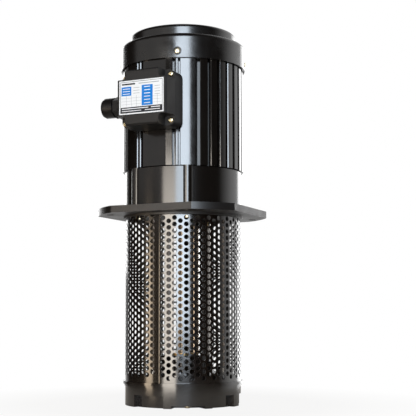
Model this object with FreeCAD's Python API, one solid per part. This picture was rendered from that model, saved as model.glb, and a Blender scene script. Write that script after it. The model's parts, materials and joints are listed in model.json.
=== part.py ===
import FreeCAD, Part
import math
import os

# A tank-top immersion coolant pump. Millimetres, +Z up towards the motor.
# The origin is the centre of the mounting flange's underside.
# Angles round the pump are in degrees from -Y, where the terminal box is, towards +X.

V = FreeCAD.Vector

# Fits
slip = 0.05
seal_gap = 0.3

# Pump head: flange and drum are one casting, heights from the flange's underside
flange_across = 174.0
flange_corner_diameter = 201.0
flange_thickness = 8.0
mount_pitch_circle = 180.0
mount_hole_diameter = 9.0
mount_hole_angles = (45, 135, 225, 315)
head_diameter = 138.6
head_height = 53.0
head_wall = 12.5
head_floor = 10.0
head_roof = 9.0
hub_radius = 26.0
hub_bore_radius = 11.0
spigot_height = 4.0
spigot_wall = 6.0
register_radius = 71.0
register_height = 2.5
head_chamfer = 1.0

# Discharge port at the back of the head
port_height = 29.5
port_reach = 84.0
port_boss_radius = 22.0
port_thread_radius = 15.2
port_thread_length = 19.0
elbow_boss_radius = 16.5

# Bolts that hold the motor on the head
bolt_circle_radius = 61.5
bolt_angles = (-29.5, 29.5, 150.5, 209.5)
bolt_boss_radius = 7.2
bolt_boss_circle_radius = 64.2
head_bolt_radius = 3.0
head_bolt_grip = 18.0
head_bolt_head_radius = 5.0
head_bolt_head_height = 6.0
clearance_hole = 0.3

# Motor frame, an extrusion
frame_diameter = 143.2
frame_length = 124.0
frame_bore_radius = 56.0
groove_depth = 7.0
pad_half_angle = 9.0
groove_width = 3.4
groove_angles = tuple(range(50, 131, 10))
pad_groove_angle = 16.7
pad_groove_width = 3.2
fin_groove_angle = 21.4
fin_groove_width = 1.7
boss_groove_angle = 38.9
boss_groove_width = 4.6
groove_mouth = 0.8

# Upper end shield
shield_radius = 70.0
shield_height = 11.0
shield_rim = 4.0
shield_web_top = 8.0
shield_web_bottom = 3.0
shield_hub_radius = 23.0
shield_hub_top = 13.0
shield_hub_bottom = -9.0
shield_shaft_hole_radius = 8.4
shield_bolt_radius = 2.5
shield_bolt_grip = 14.0
shield_bolt_head_radius = 4.25
shield_bolt_head_height = 4.0

# Fan cover
cover_diameter = 148.4
cover_wall = 1.2
cover_bottom = 175.5
cover_shoulder = 204.5
cover_shoulder_radius = 5.0
cover_step_radius = 65.0
cover_step_rise = 2.0
cover_top_diameter = 126.0
cover_top = 218.0
cover_top_radius = 4.0
vent_slot_width = 4.0
vent_slot_radii = (16.0, 25.0, 34.0, 43.0)
vent_slots_per_ring = 4
vent_slot_span = 74.0
cover_screw_height = 183.0
cover_screw_angles = (20, 110, 200, 290)
cover_screw_radius = 2.0
cover_screw_length = 7.0
cover_screw_head_radius = 3.4
cover_screw_head_height = 2.0
cover_dimple_radius = 5.2
cover_dimple_depth = 0.8
cover_lug_width = 12.0

# Cooling fan
fan_radius = 56.0
fan_hub_radius = 14.0
fan_bottom = 192.0
fan_plate = 2.0
fan_height = 13.0
fan_blades = 7
fan_blade_thickness = 2.2
fan_blade_inner_radius = 24.0
fan_seat_radius = 7.0
fan_clip_thickness = 1.2

# Ball bearings
lower_bearing_bore_radius = 8.5
lower_bearing_radius = 20.0
lower_bearing_width = 12.0
lower_ball_radius = 3.375
upper_bearing_bore_radius = 7.5
upper_bearing_radius = 17.5
upper_bearing_width = 11.0
upper_ball_radius = 2.975
bearing_balls = 8
ball_clearance = 0.06
cage_thickness = 1.5
cage_half_width = 4.4
bearing_shield_thickness = 0.5
lower_bearing_bottom = 39.0
upper_bearing_bottom = 169.0
circlip_thickness = 1.6
circlip_groove = 1.0
circlip_width = 3.0
circlip_gap = 8.0
wave_spring_height = 2.5
wave_spring_width = 3.0

# Stator and rotor
stator_bottom = 70.0
stator_length = 70.0
stator_bore_radius = 33.0
air_gap = 0.4
stator_slots = 24
slot_depth = 13.0
slot_width = 4.6
slot_lip = 1.5
winding_overhang = 13.0
winding_inner_radius = 36.0
winding_outer_radius = 52.0
rotor_shaft_radius = 10.0
end_ring_height = 8.0
end_ring_outer_radius = 31.0
end_ring_inner_radius = 18.0

# Shaft
pump_shaft_radius = 8.5
impeller_seat_radius = 6.0
shaft_thread_radius = 5.0

# Shaft seal and slinger
lip_seal_radius = 17.5
lip_seal_height = 7.0
slinger_radius = 15.0
slinger_top = -3.0
slinger_height = 5.0

# Strainer tube
strainer_diameter = 136.0
strainer_wall = 1.2
strainer_bottom = -196.0
strainer_groove_depth = 1.2
strainer_hole_across = 12.0
strainer_columns = 23
strainer_seam_angle = -1.0
strainer_seam_span = 18.0
strainer_row_pitch = 17.0
strainer_rows = 11
strainer_first_row = -13.0

# Foot casting under the strainer
foot_top = -192.4
foot_rim_radius = 70.5
foot_rim_height = 3.4
foot_neck_radius = 69.0
foot_neck_height = 2.2
foot_radius = 68.0
foot_bottom = -220.6
foot_recess_height = 13.6
foot_recess_radius = 62.0
foot_legs = ((30, 48), (150, 48), (-45.5, 31), (-134.5, 31), (90, 13))
foot_notches = ((30, 32.6), (150, 32.6))
foot_notch_height = 3.0
foot_screw_circle_radius = 57.0
foot_notch_reach = 6.0
foot_screw_angles = (30, 150, -45.5, -134.5)
foot_screw_radius = 2.5
foot_screw_head_radius = 4.3
foot_screw_head_height = 2.8
foot_screw_length = 26.0

# Volute: a chamber shared by the foot casting and the casing above it
volute_joint = -195.0
volute_casing_radius = 62.0
volute_casing_top = -184.0
volute_floor = -205.0
volute_roof = -190.0
volute_start_radius = 44.0
volute_end_radius = 53.0
tongue_angle = 205.0
nut_pit_radius = 12.0
nut_pit_floor = -215.0
bell_radius = 34.0
bell_wall = 5.0
bell_top = -162.6
bell_roof = 5.4
bell_windows = 6
bell_window_width = 22.0
bell_window_bottom = -181.0
bell_window_top = -170.0
bush_radius = 12.0
bush_boss_radius = 16.0
bush_bottom = -176.0
bush_collar_radius = 15.0
bush_collar_height = 2.0
wear_ring_radius = 25.0
neck_gap = 0.3

# Impeller
impeller_radius = 42.0
impeller_bottom = -204.2
impeller_plate = 2.5
impeller_vane_height = 7.0
impeller_shroud = 2.2
impeller_eye_radius = 18.0
impeller_neck_radius = 21.5
impeller_neck_top = -184.5
impeller_hub_radius = 10.5
impeller_hub_top = -186.0
impeller_hub_flare = 3.0
impeller_hub_flare_height = 8.0
impeller_vanes = 6
impeller_vane_thickness = 2.6
impeller_vane_angle = 25.0
key_width = 4.0
key_length = 12.0
key_depth_in_shaft = 2.2
key_depth_in_hub = 1.6
impeller_nut_across = 17.0
impeller_nut_height = 7.0

# Riser pipe and tie rods between the volute and the flange
riser_place = (0.0, 50.0)
riser_radius = 13.6
riser_bore_radius = 10.8
riser_boss_radius = 16.3
riser_boss_top = -163.0
riser_seat_depth = 14.0
riser_head_seat = 6.5
riser_gasket_height = 1.5
rod_circle_radius = 50.0
rod_angles = (-15, 105, 225)
rod_radius = 6.0
rod_boss_radius = 9.0
rod_boss_top = -176.0
rod_thread_radius = 4.0
rod_thread_length = 7.5
rod_tap_depth = 8.0

# Terminal box on the frame's flat pad
box_centre_height = 125.0
box_width = 66.0
box_height = 63.0
box_corner_radius = 8.0
box_wall = 3.0
box_floor = 3.0
box_depth = 17.2
box_gasket = 1.0
lid_gasket = 0.8
lid_flange = 2.0
lid_front = 109.0
lid_wall = 2.4
lid_front_width = 58.0
lid_front_height = 59.0
lid_front_radius = 5.0
lid_chamfer = 1.8
lid_pocket_place = 20.5
lid_pocket_radius = 4.0
lid_screw_place = (28.2, 26.0)
lid_screw_radius = 2.0
lid_screw_length = 13.0
lid_screw_head_radius = 3.3
lid_screw_head_height = 2.6
lid_post_radius = 4.6
box_screw_offset = 15.0
box_screw_radius = 2.5
box_screw_length = 12.0
box_screw_head_radius = 4.4
box_screw_head_height = 3.0
lead_hole_rise = 23.6
lead_hole_radius = 3.6
lead_grommet_wall = 1.0
label_width = 55.0
label_height = 38.0
label_thickness = 0.4

# Terminal board in the box
board_size = (36.0, 20.0)
board_thickness = 6.0
stud_spacing = (11.0, 11.0)
stud_radius = 2.0
stud_length = 13.0
stud_nut_across = 7.0
stud_nut_height = 3.2
earth_screw_place = (21.0, -16.0)
earth_screw_head_radius = 3.8
earth_screw_head_height = 2.6

# Cable gland on the left side of the box
gland_drop = 3.6
gland_thread_radius = 7.6
gland_bore_radius = 5.5
gland_boss_radius = 11.5
gland_boss_length = 6.8
gland_flange_across = 22.0
gland_flange_length = 6.5
gland_collar_radius = 9.0
gland_gap = 1.5
gland_nut_radius = 11.6
gland_nut_length = 15.5
gland_nut_taper = 4.0
gland_nut_mouth_radius = 6.5
gland_nut_wall = 2.3
gland_seal_bore_radius = 5.0

# Sizes that follow from the ones above
lower_bearing = (lower_bearing_bore_radius, lower_bearing_radius, lower_bearing_width, lower_ball_radius)
upper_bearing = (upper_bearing_bore_radius, upper_bearing_radius, upper_bearing_width, upper_ball_radius)
frame_bottom = head_height
frame_top = frame_bottom + frame_length
frame_radius = frame_diameter / 2
pad_face = frame_radius * math.cos(math.radians(pad_half_angle))
box_back = pad_face + box_gasket
box_rim = box_back + box_depth
lid_back = box_rim + lid_gasket
lid_shelf = lid_back + lid_flange
lead_hole_height = box_centre_height + lead_hole_rise
gland_height = box_centre_height - gland_drop
gland_axis = (box_back + box_rim) / 2
gland_nut_start = gland_boss_length + gland_flange_length + gland_gap
gland_nut_end = gland_nut_start + gland_nut_length
gland_seal_start = gland_nut_start + gland_nut_length / 3
strainer_radius = strainer_diameter / 2
strainer_inner_radius = strainer_radius - strainer_wall
cover_radius = cover_diameter / 2
stator_top = stator_bottom + stator_length
rotor_radius = stator_bore_radius - air_gap
lower_bearing_top = lower_bearing_bottom + lower_bearing_width
upper_bearing_top = upper_bearing_bottom + upper_bearing_width
fan_top = fan_bottom + fan_height
impeller_shroud_bottom = impeller_bottom + impeller_plate + impeller_vane_height
shaft_end = impeller_bottom - impeller_nut_height - 1.5


def spot(radius, angle, height=0.0):
    """The point at a radius and an angle from -Y towards +X."""
    turn = math.radians(angle)
    return V(radius * math.sin(turn), -radius * math.cos(turn), height)


def spin(shape, angle):
    """A copy turned about the pump's axis."""
    copy = shape.copy()
    copy.rotate(V(0, 0, 0), V(0, 0, 1), angle)
    return copy


def post(radius, bottom, top, place=None):
    """An upright cylinder."""
    centre = place or V(0, 0, 0)
    return Part.makeCylinder(radius, top - bottom, V(centre.x, centre.y, bottom))


def tube(outer, inner, bottom, top, place=None):
    """An upright ring or pipe."""
    return post(outer, bottom, top, place).cut(post(inner, bottom, top, place))


def block(low, high):
    """A box from its lowest to its highest corner."""
    return Part.makeBox(high[0] - low[0], high[1] - low[1], high[2] - low[2], V(*low))


def turned(points):
    """A solid turned about Z from a half section of (radius, height) points."""
    corners = [V(radius, 0, height) for radius, height in points]
    face = Part.Face(Part.makePolygon(corners + corners[:1]))
    return face.revolve(V(0, 0, 0), V(0, 0, 1), 360)


def fused(first, *others):
    return first.fuse(list(others)).removeSplitter()


def group(solids):
    return Part.makeCompound(solids)


def hexagon(across, bottom, top, place):
    """An upright hexagonal prism, by its size across the flats."""
    radius = across / math.sqrt(3)
    corners = [place + V(radius * math.cos(k * math.pi / 3), radius * math.sin(k * math.pi / 3), 0)
               for k in range(7)]
    face = Part.Face(Part.makePolygon([V(c.x, c.y, bottom) for c in corners]))
    return face.extrude(V(0, 0, top - bottom))


def rounded_plate(width, height, radius, back, front):
    """A plate with rounded corners, facing -Y, centred on the terminal box."""
    plate = Part.makeBox(width, front - back, height, V(-width / 2, -front, box_centre_height - height / 2))
    corners = [edge for edge in plate.Edges
               if abs(edge.Vertexes[0].X - edge.Vertexes[-1].X) < 0.01
               and abs(edge.Vertexes[0].Z - edge.Vertexes[-1].Z) < 0.01]
    return plate.makeFillet(radius, corners)


def facing(radius, back, front, x=0.0, height=0.0):
    """A cylinder that points to -Y, from a depth to a greater one."""
    return Part.makeCylinder(radius, front - back, V(x, -back, height), V(0, -1, 0))


def pump_head():
    flange = block((-flange_across / 2, -flange_across / 2, 0),
                   (flange_across / 2, flange_across / 2, flange_thickness))
    flange = flange.common(post(flange_corner_diameter / 2, 0, flange_thickness))
    edge = head_diameter / 2 - head_chamfer
    drum = turned([(0, 0), (head_diameter / 2, 0), (head_diameter / 2, head_height - head_chamfer),
                   (edge, head_height), (0, head_height)])
    register = tube(register_radius, strainer_radius + slip, -register_height, 0)
    cavity = tube(head_diameter / 2 - head_wall, hub_radius, head_floor, head_height - head_roof)
    body = fused(flange, drum).cut(cavity)
    bosses = [post(bolt_boss_radius, 0, head_height, spot(bolt_boss_circle_radius, angle))
              for angle in bolt_angles]
    riser_x, riser_y = riser_place
    elbow = post(elbow_boss_radius, 0, head_height - head_roof, V(riser_x, riser_y, 0))
    port = Part.makeCylinder(port_boss_radius, port_reach - riser_y,
                             V(riser_x, riser_y, port_height), V(0, 1, 0))
    spigot = tube(frame_bore_radius - slip, frame_bore_radius - spigot_wall,
                  head_height, head_height + spigot_height)
    body = fused(body, elbow, port, spigot, register, *bosses)
    passage_start = riser_y - riser_bore_radius
    cuts = [
        Part.makeCylinder(port_thread_radius, port_thread_length,
                          V(riser_x, port_reach - port_thread_length, port_height), V(0, 1, 0)),
        Part.makeCylinder(riser_bore_radius, port_reach - passage_start,
                          V(riser_x, passage_start, port_height), V(0, 1, 0)),
        post(riser_bore_radius, 0, port_height, V(riser_x, riser_y, 0)),
        post(riser_radius + slip, 0, riser_head_seat, V(riser_x, riser_y, 0)),
        post(lip_seal_radius, 0, lip_seal_height),
        post(hub_bore_radius, 0, head_height),
        post(lower_bearing_radius, lower_bearing_bottom, head_height),
        post(lower_bearing_radius + circlip_groove, lower_bearing_top, lower_bearing_top + circlip_thickness),
        tube(strainer_radius + slip, strainer_inner_radius - slip, 0, strainer_groove_depth),
    ]
    for angle in mount_hole_angles:
        cuts.append(post(mount_hole_diameter / 2, 0, flange_thickness, spot(mount_pitch_circle / 2, angle)))
    for angle in bolt_angles:
        cuts.append(post(head_bolt_radius + clearance_hole, 0, head_height, spot(bolt_circle_radius, angle)))
    for angle in rod_angles:
        cuts.append(post(rod_thread_radius + slip, 0, rod_tap_depth, spot(rod_circle_radius, angle)))
    return body.cut(cuts)


def head_bolts():
    bolts = []
    for angle in bolt_angles:
        place = spot(bolt_circle_radius, angle)
        head = post(head_bolt_head_radius, -head_bolt_head_height, 0, place)
        shank = post(head_bolt_radius, 0, head_height + head_bolt_grip, place)
        socket = hexagon(head_bolt_radius * 5 / 3, -head_bolt_head_height, -head_bolt_head_height / 2, place)
        bolts.append(fused(head, shank).cut(socket))
    return group(bolts)


def groove(angle, width):
    """The plan of one groove in the frame, with chamfered edges at its mouth."""
    bottom = frame_radius - groove_depth
    edge = frame_radius - groove_mouth
    outside = frame_radius + groove_mouth
    half = width / 2
    flare = half + 2 * groove_mouth
    corners = [V(half, -bottom, 0), V(half, -edge, 0), V(flare, -outside, 0),
               V(-flare, -outside, 0), V(-half, -edge, 0), V(-half, -bottom, 0)]
    return spin(Part.Face(Part.makePolygon(corners + corners[:1])), angle)


def motor_frame():
    plan = Part.Face(Part.Wire(Part.makeCircle(frame_radius)))
    beyond_pad = Part.makePlane(frame_diameter, frame_radius, V(-frame_radius, -pad_face - frame_radius, 0))
    grooves = [groove(angle, groove_width) for angle in groove_angles]
    grooves += [groove(-angle, groove_width) for angle in groove_angles]
    for angle, width in ((pad_groove_angle, pad_groove_width), (fin_groove_angle, fin_groove_width),
                         (boss_groove_angle, boss_groove_width)):
        for place in (angle, -angle, 180 - angle, 180 + angle):
            grooves.append(groove(place, width))
    bore = Part.Face(Part.Wire(Part.makeCircle(frame_bore_radius)))
    plan = plan.cut(grooves + [beyond_pad, bore])
    frame = plan.extrude(V(0, 0, frame_length))
    frame.translate(V(0, 0, frame_bottom))
    cuts = []
    for angle in bolt_angles:
        place = spot(bolt_circle_radius, angle)
        cuts.append(post(head_bolt_radius + slip, frame_bottom, frame_bottom + head_bolt_grip + 2, place))
        cuts.append(post(shield_bolt_radius + slip, frame_top - shield_bolt_grip, frame_top, place))
    for side in (-1, 1):
        height = box_centre_height + side * box_screw_offset
        cuts.append(facing(box_screw_radius + slip, pad_face - box_screw_length, pad_face, 0, height))
    cuts.append(facing(lead_hole_radius, frame_bore_radius - 2, pad_face, 0, lead_hole_height))
    return frame.cut(cuts)


def end_shield():
    base = frame_top
    inner = shield_radius - shield_rim
    hub = shield_hub_radius
    seat_top = upper_bearing_top + wave_spring_height
    body = turned([
        (shield_shaft_hole_radius, base + shield_hub_top),
        (shield_shaft_hole_radius, seat_top),
        (upper_bearing_radius, seat_top),
        (upper_bearing_radius, base + shield_hub_bottom),
        (hub, base + shield_hub_bottom),
        (hub, base + shield_web_bottom),
        (frame_bore_radius - spigot_wall, base + shield_web_bottom),
        (frame_bore_radius - spigot_wall, base - spigot_height),
        (frame_bore_radius - slip, base - spigot_height),
        (frame_bore_radius - slip, base),
        (shield_radius, base),
        (shield_radius, base + shield_height),
        (inner, base + shield_height),
        (inner, base + shield_web_top),
        (hub + 3, base + shield_web_top),
        (hub - 3, base + shield_hub_top),
    ])
    reach = cover_radius - cover_wall - slip
    for angle in cover_screw_angles:
        lug = block((-cover_lug_width / 2, -reach - 1, base),
                    (cover_lug_width / 2, -inner, base + shield_height))
        lug = lug.common(post(reach, base, base + shield_height))
        body = body.fuse(spin(lug, angle))
    cuts = []
    for angle in cover_screw_angles:
        hole = facing(cover_screw_radius + slip, inner - 3, reach + 1, 0, cover_screw_height)
        cuts.append(spin(hole, angle))
    for angle in bolt_angles:
        cuts.append(post(shield_bolt_radius + clearance_hole, base, base + shield_web_top,
                         spot(bolt_circle_radius, angle)))
    return body.cut(cuts).removeSplitter()


def end_shield_screws():
    under_head = frame_top + shield_web_top
    screws = []
    for angle in bolt_angles:
        place = spot(bolt_circle_radius, angle)
        head = post(shield_bolt_head_radius, under_head, under_head + shield_bolt_head_height, place)
        shank = post(shield_bolt_radius, frame_top - shield_bolt_grip + 1, under_head, place)
        screws.append(fused(head, shank))
    return group(screws)


def cover_section(inset):
    """The closed half section of the cover's outside, moved inwards by a wall."""
    side = cover_radius - inset
    shoulder = cover_shoulder - inset
    bend = cover_shoulder_radius - inset
    step = cover_step_radius - inset
    top_side = cover_top_diameter / 2 - inset
    top = cover_top - inset
    top_bend = cover_top_radius - inset
    diagonal = math.sqrt(0.5)
    lines = [
        Part.makeLine(V(0, 0, cover_bottom), V(side, 0, cover_bottom)),
        Part.makeLine(V(side, 0, cover_bottom), V(side, 0, shoulder - bend)),
        Part.Arc(V(side, 0, shoulder - bend),
                 V(side - bend + bend * diagonal, 0, shoulder - bend + bend * diagonal),
                 V(side - bend, 0, shoulder)).toShape(),
        Part.makeLine(V(side - bend, 0, shoulder), V(step, 0, shoulder)),
        Part.makeLine(V(step, 0, shoulder), V(top_side, 0, shoulder + cover_step_rise)),
        Part.makeLine(V(top_side, 0, shoulder + cover_step_rise), V(top_side, 0, top - top_bend)),
        Part.Arc(V(top_side, 0, top - top_bend),
                 V(top_side - top_bend + top_bend * diagonal, 0, top - top_bend + top_bend * diagonal),
                 V(top_side - top_bend, 0, top)).toShape(),
        Part.makeLine(V(top_side - top_bend, 0, top), V(0, 0, top)),
        Part.makeLine(V(0, 0, top), V(0, 0, cover_bottom)),
    ]
    return Part.Face(Part.Wire(lines)).revolve(V(0, 0, 0), V(0, 0, 1), 360)


def fan_cover():
    shell = cover_section(0).cut(cover_section(cover_wall))
    vents = []
    for ring_number, radius in enumerate(vent_slot_radii):
        arc = Part.makeCylinder(radius + vent_slot_width / 2, 3 * cover_wall,
                                V(0, 0, cover_top - 2 * cover_wall), V(0, 0, 1), vent_slot_span)
        core = post(radius - vent_slot_width / 2, cover_top - 2 * cover_wall, cover_top + cover_wall)
        slot = arc.cut(core)
        for number in range(vent_slots_per_ring):
            vents.append(spin(slot, (number + ring_number / 2) * 360 / vent_slots_per_ring))
    for angle in cover_screw_angles:
        hole = facing(cover_screw_radius + clearance_hole, cover_radius - 3, cover_radius + 1,
                      0, cover_screw_height)
        dimple = Part.makeCone(cover_screw_head_radius + clearance_hole, cover_dimple_radius + 1,
                               cover_dimple_depth + 1, V(0, cover_dimple_depth - cover_radius, cover_screw_height),
                               V(0, -1, 0))
        vents += [spin(hole, angle), spin(dimple, angle)]
    return shell.cut(vents)


def pan_screw(head_radius, head_height, shank_radius, shank_length, seat, way):
    """A cross recessed pan head screw, its head seated at a point and standing up along a way."""
    head = turned([(0, 0), (head_radius, 0), (head_radius, head_height * 0.45),
                   (head_radius * 0.8, head_height * 0.82), (head_radius * 0.45, head_height), (0, head_height)])
    arm = head_radius * 0.55
    slot = head_radius * 0.14
    cross = [block((-arm, -slot, head_height * 0.5), (arm, slot, head_height)),
             block((-slot, -arm, head_height * 0.5), (slot, arm, head_height))]
    screw = fused(head, post(shank_radius, -shank_length, 0)).cut(cross)
    screw.Placement = FreeCAD.Placement(seat, FreeCAD.Rotation(V(0, 0, 1), way))
    return screw


def fan_cover_screws():
    seat = V(0, cover_dimple_depth - cover_radius, cover_screw_height)
    screw = pan_screw(cover_screw_head_radius, cover_screw_head_height, cover_screw_radius,
                      cover_screw_length - cover_dimple_depth, seat, V(0, -1, 0))
    return group([spin(screw, angle) for angle in cover_screw_angles])


def cooling_fan():
    hub = post(fan_hub_radius, fan_bottom, fan_top)
    plate = post(fan_radius, fan_bottom, fan_bottom + fan_plate)
    blade = block((-fan_blade_thickness / 2, -fan_radius, fan_bottom),
                  (fan_blade_thickness / 2, -fan_blade_inner_radius, fan_top - 1))
    rib = block((-fan_blade_thickness / 2, -fan_blade_inner_radius - 1, fan_bottom),
                (fan_blade_thickness / 2, -fan_hub_radius + 1, fan_bottom + 2 * fan_plate))
    blades = [spin(part.common(post(fan_radius, fan_bottom, fan_top)), number * 360 / fan_blades)
              for number in range(fan_blades) for part in (blade, rib)]
    return fused(hub, plate, *blades).cut(post(fan_seat_radius, fan_bottom, fan_top))


def fan_clip():
    return tube(fan_seat_radius + 3, fan_seat_radius - 0.5 + slip, fan_top, fan_top + fan_clip_thickness)


def pitch_radius(bearing):
    return (bearing[0] + bearing[1]) / 2


def bearing_outer(bearing, bottom):
    bore, outside, width, ball = bearing
    race_inner = pitch_radius(bearing) + ball + ball_clearance
    race = tube(outside, race_inner, bottom, bottom + width)
    shield_inner = pitch_radius(bearing) - ball + seal_gap
    low = tube(race_inner, shield_inner, bottom, bottom + bearing_shield_thickness)
    high = tube(race_inner, shield_inner, bottom + width - bearing_shield_thickness, bottom + width)
    return fused(race, low, high)


def bearing_inner(bearing, bottom):
    bore, outside, width, ball = bearing
    return tube(pitch_radius(bearing) - ball - ball_clearance, bore, bottom, bottom + width)


def ball_places(bearing, bottom):
    return [spot(pitch_radius(bearing), number * 360 / bearing_balls, bottom + bearing[2] / 2)
            for number in range(bearing_balls)]


def bearing_ball_set(bearing, bottom):
    return group([Part.makeSphere(bearing[3], place) for place in ball_places(bearing, bottom)])


def bearing_cage(bearing, bottom):
    middle = bottom + bearing[2] / 2
    radius = pitch_radius(bearing)
    cage = tube(radius + cage_thickness / 2, radius - cage_thickness / 2,
                middle - cage_half_width, middle + cage_half_width)
    pockets = []
    for place in ball_places(bearing, bottom):
        outward = V(place.x, place.y, 0)
        start = V(place.x, place.y, place.z) - outward.normalize() * cage_thickness * 2
        pockets.append(Part.makeCylinder(bearing[3] + ball_clearance, cage_thickness * 4, start,
                                         V(place.x, place.y, 0)))
    return cage.cut(pockets)


def bearing_circlip():
    seat = lower_bearing_radius + circlip_groove
    top = lower_bearing_top + circlip_thickness
    clip = tube(seat - slip, seat - slip - circlip_width, lower_bearing_top, top)
    gap = block((-circlip_gap / 2, -seat, lower_bearing_top), (circlip_gap / 2, -seat / 2, top))
    return clip.cut(gap)


def wave_spring():
    """The preload washer, drawn as the flat ring that it is when pressed."""
    outer = upper_bearing_radius - slip
    return tube(outer, outer - wave_spring_width, upper_bearing_top, upper_bearing_top + wave_spring_height)


def stator_core():
    plan = Part.Face(Part.Wire(Part.makeCircle(frame_bore_radius - slip)))
    bore = Part.Face(Part.Wire(Part.makeCircle(stator_bore_radius)))
    slots = []
    for number in range(stator_slots):
        start = stator_bore_radius + slot_lip
        slots.append(spin(Part.makePlane(slot_width, slot_depth, V(-slot_width / 2, start, 0)),
                          number * 360 / stator_slots))
    core = plan.cut(slots + [bore]).extrude(V(0, 0, stator_length))
    core.translate(V(0, 0, stator_bottom))
    return core


def stator_windings():
    lower = tube(winding_outer_radius, winding_inner_radius, stator_bottom - winding_overhang, stator_bottom)
    upper = tube(winding_outer_radius, winding_inner_radius, stator_top, stator_top + winding_overhang)
    start = stator_bore_radius + slot_lip + seal_gap
    end = stator_bore_radius + slot_lip + slot_depth - seal_gap
    bar = block((seal_gap - slot_width / 2, start, stator_bottom), (slot_width / 2 - seal_gap, end, stator_top))
    bars = [spin(bar, number * 360 / stator_slots) for number in range(stator_slots)]
    return lower.fuse([upper] + bars)


def rotor_core():
    return tube(rotor_radius, rotor_shaft_radius, stator_bottom, stator_top)


def rotor_end_rings():
    low = tube(end_ring_outer_radius, end_ring_inner_radius, stator_bottom - end_ring_height, stator_bottom)
    high = tube(end_ring_outer_radius, end_ring_inner_radius, stator_top, stator_top + end_ring_height)
    return group([low, high])


def motor_shaft():
    clip = fan_seat_radius - 0.5
    shaft = turned([
        (0, shaft_end),
        (shaft_thread_radius, shaft_end),
        (shaft_thread_radius, impeller_bottom),
        (impeller_seat_radius, impeller_bottom),
        (impeller_seat_radius, impeller_hub_top),
        (pump_shaft_radius, impeller_hub_top),
        (lower_bearing_bore_radius, lower_bearing_top),
        (rotor_shaft_radius, lower_bearing_top),
        (rotor_shaft_radius, upper_bearing_bottom),
        (upper_bearing_bore_radius, upper_bearing_bottom),
        (upper_bearing_bore_radius, fan_bottom),
        (fan_seat_radius, fan_bottom),
        (fan_seat_radius, fan_top),
        (clip, fan_top),
        (clip, fan_top + fan_clip_thickness),
        (fan_seat_radius, fan_top + fan_clip_thickness),
        (fan_seat_radius - 1, fan_top + fan_clip_thickness + 1.5),
        (0, fan_top + fan_clip_thickness + 1.5),
    ])
    return shaft.cut(key_block(slip))


def key_block(grow=0.0):
    """The impeller key, or with a clearance its keyway."""
    middle = (impeller_bottom + impeller_hub_top) / 2
    half = key_width / 2 + grow
    return block((-half, impeller_seat_radius - key_depth_in_shaft - grow, middle - key_length / 2 - grow),
                 (half, impeller_seat_radius + key_depth_in_hub + grow, middle + key_length / 2 + grow))


def lip_seal():
    lip = pump_shaft_radius + slip
    return turned([
        (lip_seal_radius, 0), (lip_seal_radius, lip_seal_height), (lip_seal_radius - 2, lip_seal_height),
        (lip_seal_radius - 2, 2), (lip + 2, 2), (lip + 1.5, lip_seal_height - 1),
        (lip, lip_seal_height - 2), (lip + 1, 0),
    ])


def slinger():
    bottom = slinger_top - slinger_height
    return turned([
        (pump_shaft_radius, bottom), (pump_shaft_radius + 3, bottom), (pump_shaft_radius + 3, slinger_top - 2),
        (slinger_radius, slinger_top - 1), (slinger_radius, slinger_top), (pump_shaft_radius, slinger_top),
    ])


def strainer_tube():
    top = strainer_groove_depth
    body = tube(strainer_radius, strainer_inner_radius, strainer_bottom, top)
    radius = strainer_hole_across / math.sqrt(3)
    holes = []
    for column in range(strainer_columns):
        turn = (360 - strainer_seam_span) / (strainer_columns - 1)
        angle = strainer_seam_angle + strainer_seam_span / 2 + column * turn
        drop = strainer_row_pitch / 2 if column % 2 else 0
        rows = strainer_rows - 1 if column % 2 else strainer_rows
        for row in range(rows):
            height = strainer_first_row - drop - row * strainer_row_pitch
            corners = [V(radius * math.cos(k * math.pi / 3), -strainer_radius - 1,
                         height + radius * math.sin(k * math.pi / 3)) for k in range(7)]
            hole = Part.Face(Part.makePolygon(corners)).extrude(V(0, strainer_wall + 3, 0))
            holes.append(spin(hole, angle))
    return body.cut(holes)


def sector(inner, outer, bottom, top, middle, span):
    """Part of an upright ring, centred on an angle round the pump."""
    wedge = Part.makeCylinder(outer, top - bottom, V(0, 0, bottom), V(0, 0, 1), span)
    return spin(wedge.cut(post(inner, bottom, top)), middle - span / 2 - 90)


def volute_chamber(bottom, top):
    """The spiral space round the impeller, which grows from the tongue round to the outlet."""
    points = []
    steps = 24
    for step in range(steps + 1):
        share = step / steps
        radius = volute_start_radius + (volute_end_radius - volute_start_radius) * share
        points.append(spot(radius, tongue_angle + share * 335, bottom))
    spiral = Part.BSplineCurve()
    spiral.interpolate(points)
    closing = Part.makeLine(points[-1], points[0])
    face = Part.Face(Part.Wire([spiral.toShape(), closing]))
    chamber = face.extrude(V(0, 0, top - bottom))
    outlet = post(riser_bore_radius, bottom, top, V(riser_place[0], riser_place[1], 0))
    return chamber.fuse([outlet, post(volute_start_radius, bottom, top)]).removeSplitter()


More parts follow.
